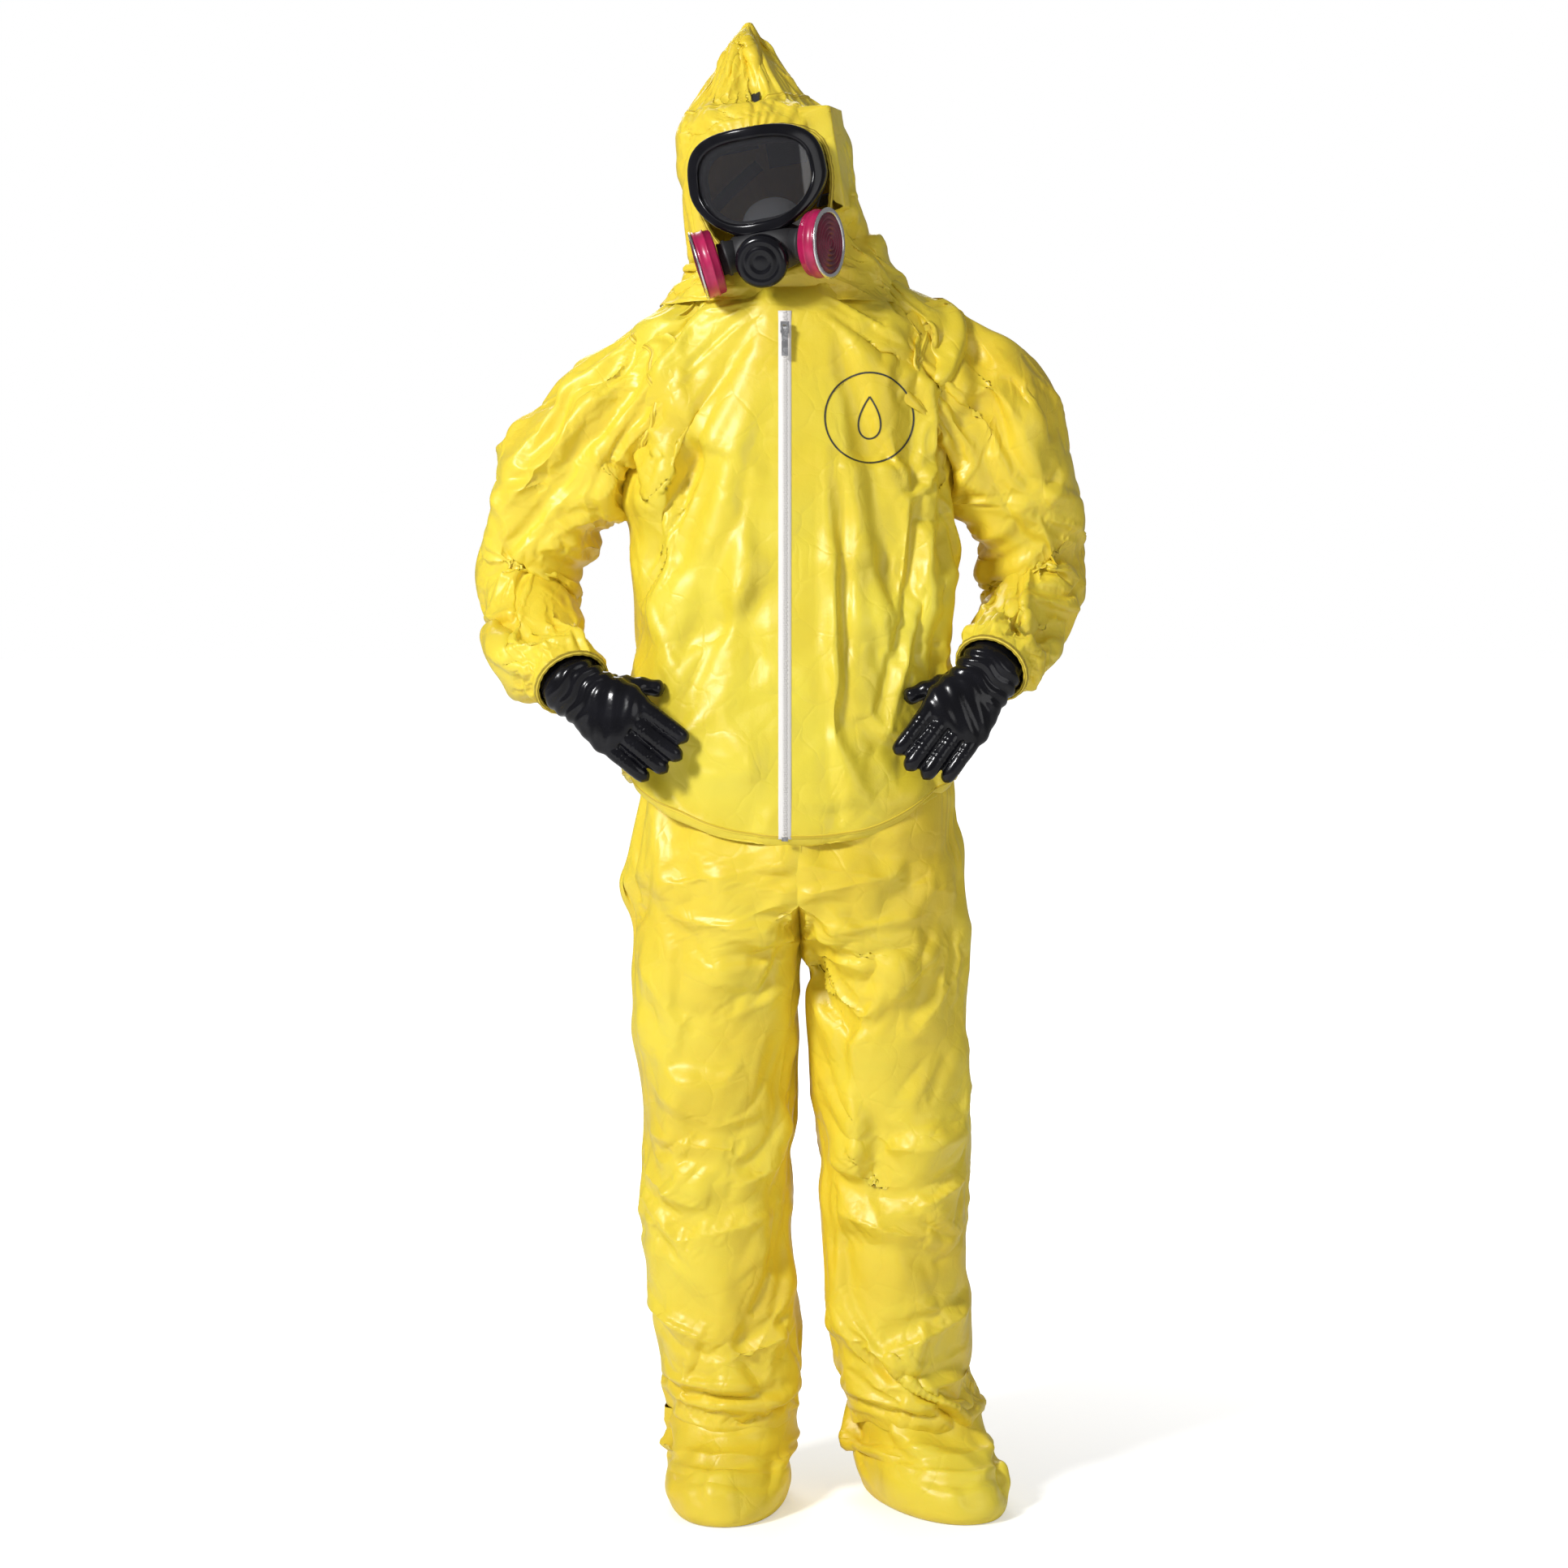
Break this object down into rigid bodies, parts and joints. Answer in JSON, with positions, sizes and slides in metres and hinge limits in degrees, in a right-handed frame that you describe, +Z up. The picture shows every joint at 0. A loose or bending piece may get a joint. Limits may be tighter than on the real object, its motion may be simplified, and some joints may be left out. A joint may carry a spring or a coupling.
{
  "type": "chemical protective suit with full-face respirator",
  "caption": "Hooded yellow coated-cloth coverall with attached socks, black gloves and a full-face respirator with side cartridges, standing as worn.",
  "frame": {"origin": "on the floor under the middle of the suit's outline", "axes": "+Z up, the front faces -Y, +X to the wearer's left"},
  "size_m": [0.821, 0.3255, 1.9123],
  "materials": {
    "yellow_cloth": "coated cloth with a satin face",
    "white_zip": "woven tape with moulded teeth",
    "black_rubber": "matt",
    "glove_rubber": "glossy",
    "gloss_black": "polished",
    "clear_lens": "clear, hard coated",
    "magenta_plastic": "satin",
    "bright_metal": "bright",
    "grey_silicone": "soft sheen",
    "pale_elastic": "ribbed"
  },
  "bodies": {
    "torso": {"jacket_front_right": "yellow_cloth", "jacket_front_left": "yellow_cloth", "jacket_back": "yellow_cloth", "trouser_top_right": "yellow_cloth", "trouser_top_left": "yellow_cloth", "zip_tape": "white_zip", "zip_coil": "white_zip", "zip_bottom_stop": "bright_metal", "neck_fold": "yellow_cloth", "shoulder_fold_right": "yellow_cloth", "shoulder_fold_left": "yellow_cloth", "hip_fold_right": "yellow_cloth", "hip_fold_left": "yellow_cloth"},
    "head": {"hood_crown": "yellow_cloth", "hood_side_right": "yellow_cloth", "hood_side_left": "yellow_cloth", "face_elastic": "pale_elastic", "mask_lens": "clear_lens", "mask_frame": "gloss_black", "face_seal": "black_rubber", "mask_chin_piece": "black_rubber", "nose_cup": "grey_silicone", "outlet_cover": "gloss_black", "temple_strap_right": "black_rubber", "temple_strap_left": "black_rubber", "cheek_strap_right": "black_rubber", "cheek_strap_left": "black_rubber", "crown_strap": "black_rubber", "harness_pad": "black_rubber"},
    "outlet_valve": {"outlet_flap": "black_rubber"},
    "inlet_valve_right": {"inlet_flap_right": "black_rubber"},
    "inlet_valve_left": {"inlet_flap_left": "black_rubber"},
    "cartridge_right": {"cartridge_can_right": "magenta_plastic", "cartridge_rim_right": "bright_metal", "cartridge_lid_right": "magenta_plastic"},
    "cartridge_left": {"cartridge_can_left": "magenta_plastic", "cartridge_rim_left": "bright_metal", "cartridge_lid_left": "magenta_plastic"},
    "slider": {"zip_slider": "bright_metal"},
    "pull": {"zip_pull": "bright_metal"},
    "upper_arm_right": {"sleeve_upper_right": "yellow_cloth", "elbow_fold_right": "yellow_cloth"},
    "upper_arm_left": {"sleeve_upper_left": "yellow_cloth", "elbow_fold_left": "yellow_cloth"},
    "forearm_right": {"sleeve_lower_right": "yellow_cloth", "cuff_elastic_right": "pale_elastic"},
    "forearm_left": {"sleeve_lower_left": "yellow_cloth", "cuff_elastic_left": "pale_elastic"},
    "hand_right": {"glove_right": "glove_rubber"},
    "hand_left": {"glove_left": "glove_rubber"},
    "thigh_right": {"trouser_thigh_right": "yellow_cloth", "knee_fold_right": "yellow_cloth"},
    "thigh_left": {"trouser_thigh_left": "yellow_cloth", "knee_fold_left": "yellow_cloth"},
    "shin_right": {"trouser_shin_right": "yellow_cloth", "sock_right": "yellow_cloth"},
    "shin_left": {"trouser_shin_left": "yellow_cloth", "sock_left": "yellow_cloth"}
  },
  "joints": [
    {"name": "neck_turn", "type": "hinge", "parent": "torso", "child": "head", "pos_m": [0.007, 0.027, 1.592], "axis": [-0.1564, 0, 0.9877], "range_deg": [-6, 15], "deforming": ["neck_fold"]},
    {"name": "cartridge_twist_right", "type": "hinge", "parent": "head", "child": "cartridge_right", "pos_m": [-0.06423, -0.08632, 1.59894], "axis": [-0.9565, -0.0173, -0.2911], "range_deg": [0, 90]},
    {"name": "cartridge_twist_left", "type": "hinge", "parent": "head", "child": "cartridge_left", "pos_m": [0.01661, -0.10522, 1.61175], "axis": [0.8932, -0.4497, 0.0019], "range_deg": [0, 90]},
    {"name": "inlet_flap_right_lift", "type": "slide", "parent": "head", "child": "inlet_valve_right", "axis": [0.9565, 0.0173, 0.2911], "range_m": [0, 0.002]},
    {"name": "inlet_flap_left_lift", "type": "slide", "parent": "head", "child": "inlet_valve_left", "axis": [-0.8932, 0.4497, -0.0019], "range_m": [0, 0.002]},
    {"name": "outlet_flap_lift", "type": "slide", "parent": "head", "child": "outlet_valve", "axis": [-0.1777, -0.9454, -0.2731], "range_m": [0, 0.002]},
    {"name": "zip_slide", "type": "slide", "parent": "torso", "child": "slider", "axis": [0, -0.0768, -0.997], "range_m": [0, 0.62]},
    {"name": "zip_pull_swing", "type": "hinge", "parent": "slider", "child": "pull", "pos_m": [0.001, -0.09902, 1.51092], "axis": [-1, 0, 0], "range_deg": [0, 150]},
    {"name": "shoulder_raise_right", "type": "hinge", "parent": "torso", "child": "upper_arm_right", "pos_m": [-0.224, 0.032, 1.43], "axis": [0, 1, 0], "range_deg": [0, 35], "deforming": ["shoulder_fold_right"]},
    {"name": "shoulder_raise_left", "type": "hinge", "parent": "torso", "child": "upper_arm_left", "pos_m": [0.244, 0.032, 1.43], "axis": [0, -1, 0], "range_deg": [0, 35], "deforming": ["shoulder_fold_left"]},
    {"name": "elbow_straighten_right", "type": "hinge", "parent": "upper_arm_right", "child": "forearm_right", "pos_m": [-0.363, 0.093, 1.212], "axis": [0.7417, 0.597, -0.3058], "range_deg": [0, 45], "deforming": ["elbow_fold_right"]},
    {"name": "elbow_straighten_left", "type": "hinge", "parent": "upper_arm_left", "child": "forearm_left", "pos_m": [0.363, 0.093, 1.216], "axis": [0.7692, -0.583, 0.2616], "range_deg": [0, 45], "deforming": ["elbow_fold_left"]},
    {"name": "wrist_bend_right", "type": "hinge", "parent": "forearm_right", "child": "hand_right", "pos_m": [-0.267, -0.099, 1.07], "axis": [-0.6189, 0, -0.7855], "range_deg": [-8, 8]},
    {"name": "wrist_bend_left", "type": "hinge", "parent": "forearm_left", "child": "hand_left", "pos_m": [0.261, -0.099, 1.088], "axis": [0.8, 0, -0.6], "range_deg": [-8, 8]},
    {"name": "hip_bend_right", "type": "hinge", "parent": "torso", "child": "thigh_right", "pos_m": [-0.093, 0.023, 0.85], "axis": [-1, 0, 0], "range_deg": [0, 30], "deforming": ["hip_fold_right"]},
    {"name": "hip_bend_left", "type": "hinge", "parent": "torso", "child": "thigh_left", "pos_m": [0.13, 0.023, 0.85], "axis": [-1, 0, 0], "range_deg": [0, 30], "deforming": ["hip_fold_left"]},
    {"name": "knee_bend_right", "type": "hinge", "parent": "thigh_right", "child": "shin_right", "pos_m": [-0.08405, 0.0354, 0.47], "axis": [1, 0, 0], "range_deg": [0, 40], "deforming": ["knee_fold_right"]},
    {"name": "knee_bend_left", "type": "hinge", "parent": "thigh_left", "child": "shin_left", "pos_m": [0.1453, 0.0354, 0.47], "axis": [1, 0, 0], "range_deg": [0, 40], "deforming": ["knee_fold_left"]}
  ]
}
